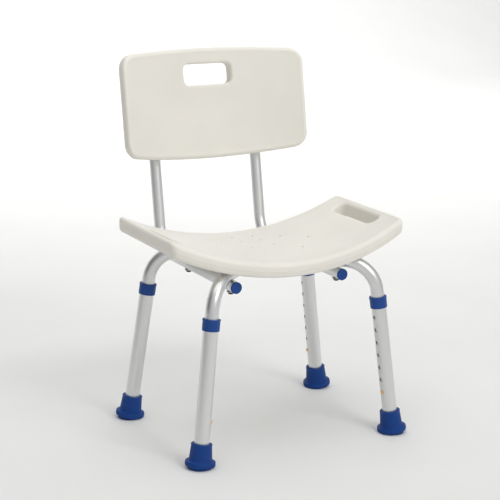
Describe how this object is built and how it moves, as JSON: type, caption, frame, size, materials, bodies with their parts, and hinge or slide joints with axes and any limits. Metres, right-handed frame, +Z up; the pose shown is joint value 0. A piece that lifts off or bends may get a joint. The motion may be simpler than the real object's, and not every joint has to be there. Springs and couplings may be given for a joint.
{
  "type": "shower stool",
  "caption": "Shower stool with a curved back panel and an upturned seat on crossed tubular legs with telescopic height adjustment and flared rubber feet.",
  "frame": {"origin": "on the floor, at the centre of the bounding box", "axes": "+Z up, the sitter faces -Y, +X across the seat"},
  "size_m": [0.5, 0.4842, 0.716],
  "materials": {
    "white_plastic": "fine matte moulded texture",
    "aluminium_tube": "satin anodised",
    "blue_plastic": "satin moulded",
    "blue_rubber": "matte",
    "button_brass": "polished",
    "spring_steel": "bright",
    "plated_steel": "zinc plated",
    "dark_steel": "black oxide",
    "insert_brass": "plain"
  },
  "bodies": {
    "frame": {"seat_panel": "white_plastic", "back_panel": "white_plastic", "cross_tube_lower": "aluminium_tube", "cross_tube_upper": "aluminium_tube", "back_tube_left": "aluminium_tube", "back_tube_right": "aluminium_tube", "rail_cap_left": "blue_plastic", "rail_cap_right": "blue_plastic", "seat_screws": "dark_steel", "seat_screw_washers": "plated_steel", "seat_inserts": "insert_brass", "cross_rivet": "plated_steel", "back_screws": "dark_steel", "back_inserts": "insert_brass", "button_spring_front_left": "spring_steel", "button_spring_front_right": "spring_steel", "button_spring_rear_left": "spring_steel", "button_spring_rear_right": "spring_steel"},
    "leg_front_left": {"leg_tube_front_left": "aluminium_tube", "leg_collar_front_left": "blue_plastic", "foot_front_left": "blue_rubber", "foot_washer_front_left": "plated_steel"},
    "button_front_left": {"snap_button_front_left": "button_brass"},
    "leg_front_right": {"leg_tube_front_right": "aluminium_tube", "leg_collar_front_right": "blue_plastic", "foot_front_right": "blue_rubber", "foot_washer_front_right": "plated_steel"},
    "button_front_right": {"snap_button_front_right": "button_brass"},
    "leg_rear_left": {"leg_tube_rear_left": "aluminium_tube", "leg_collar_rear_left": "blue_plastic", "foot_rear_left": "blue_rubber", "foot_washer_rear_left": "plated_steel"},
    "button_rear_left": {"snap_button_rear_left": "button_brass"},
    "leg_rear_right": {"leg_tube_rear_right": "aluminium_tube", "leg_collar_rear_right": "blue_plastic", "foot_rear_right": "blue_rubber", "foot_washer_rear_right": "plated_steel"},
    "button_rear_right": {"snap_button_rear_right": "button_brass"}
  },
  "joints": [
    {"name": "leg_length_front_left", "type": "slide", "parent": "frame", "child": "leg_front_left", "axis": [-0.1141, -0.0737, -0.9907], "range_m": [0, 0.1524]},
    {"name": "leg_length_front_right", "type": "slide", "parent": "frame", "child": "leg_front_right", "axis": [0.1141, -0.0737, -0.9907], "range_m": [0, 0.1524]},
    {"name": "leg_length_rear_left", "type": "slide", "parent": "frame", "child": "leg_rear_left", "axis": [-0.1357, 0.0289, -0.9903], "range_m": [0, 0.1524]},
    {"name": "leg_length_rear_right", "type": "slide", "parent": "frame", "child": "leg_rear_right", "axis": [0.1357, 0.0289, -0.9903], "range_m": [0, 0.1524]},
    {"name": "button_press_front_left", "type": "slide", "parent": "frame", "child": "button_front_left", "axis": [-0.9751, 0.199, 0.0975], "range_m": [0, 0.0045], "stiffness_N_per_m": 400, "springref_m": -0.003, "deforming": ["button_spring_front_left"]},
    {"name": "button_press_front_right", "type": "slide", "parent": "frame", "child": "button_front_right", "axis": [0.9751, 0.199, 0.0975], "range_m": [0, 0.0045], "stiffness_N_per_m": 400, "springref_m": -0.003, "deforming": ["button_spring_front_right"]},
    {"name": "button_press_rear_left", "type": "slide", "parent": "frame", "child": "button_rear_left", "axis": [-0.9723, -0.1961, 0.1275], "range_m": [0, 0.0045], "stiffness_N_per_m": 400, "springref_m": -0.003, "deforming": ["button_spring_rear_left"]},
    {"name": "button_press_rear_right", "type": "slide", "parent": "frame", "child": "button_rear_right", "axis": [0.9723, -0.1961, 0.1275], "range_m": [0, 0.0045], "stiffness_N_per_m": 400, "springref_m": -0.003, "deforming": ["button_spring_rear_right"]}
  ]
}
